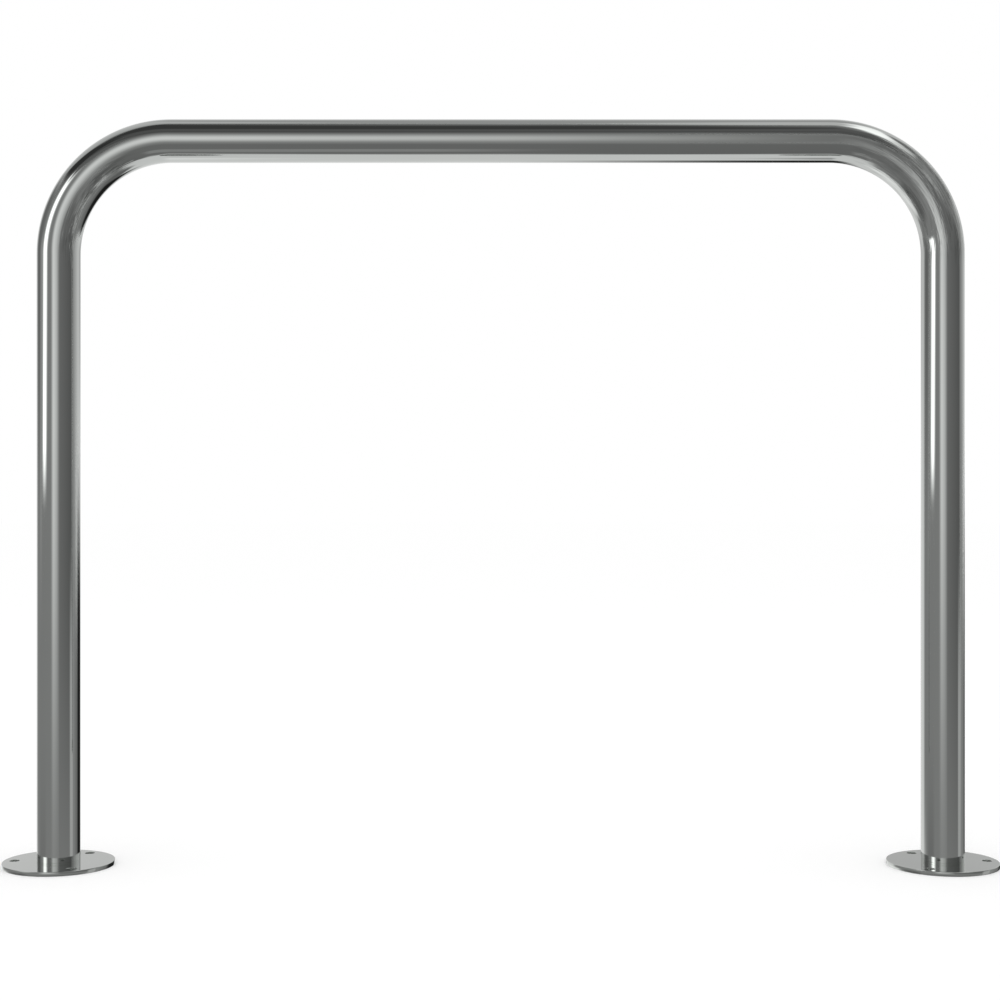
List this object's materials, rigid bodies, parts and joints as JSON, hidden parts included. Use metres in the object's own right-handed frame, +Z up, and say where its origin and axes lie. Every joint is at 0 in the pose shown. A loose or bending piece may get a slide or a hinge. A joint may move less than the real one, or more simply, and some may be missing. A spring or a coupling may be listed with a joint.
{
  "type": "hoop bike rack",
  "caption": "Hoop of polished stainless steel tube welded to round base plates that bolt to the ground, for leaning and locking bicycles.",
  "frame": {"origin": "on the ground, midway between the centres of the base plates", "axes": "+X along the hoop's width, towards the right leg as seen from the front; +Y from the front to the back, square to the hoop; +Z up"},
  "size_m": [1.125, 0.125, 0.843],
  "materials": {
    "polished_tube": "polished",
    "polished_plate": "polished",
    "polished_weld": "polished"
  },
  "bodies": {
    "root": {"hoop_tube": "polished_tube", "left_base_plate": "polished_plate", "right_base_plate": "polished_plate", "left_foot_weld": "polished_weld", "right_foot_weld": "polished_weld"}
  },
  "joints": []
}
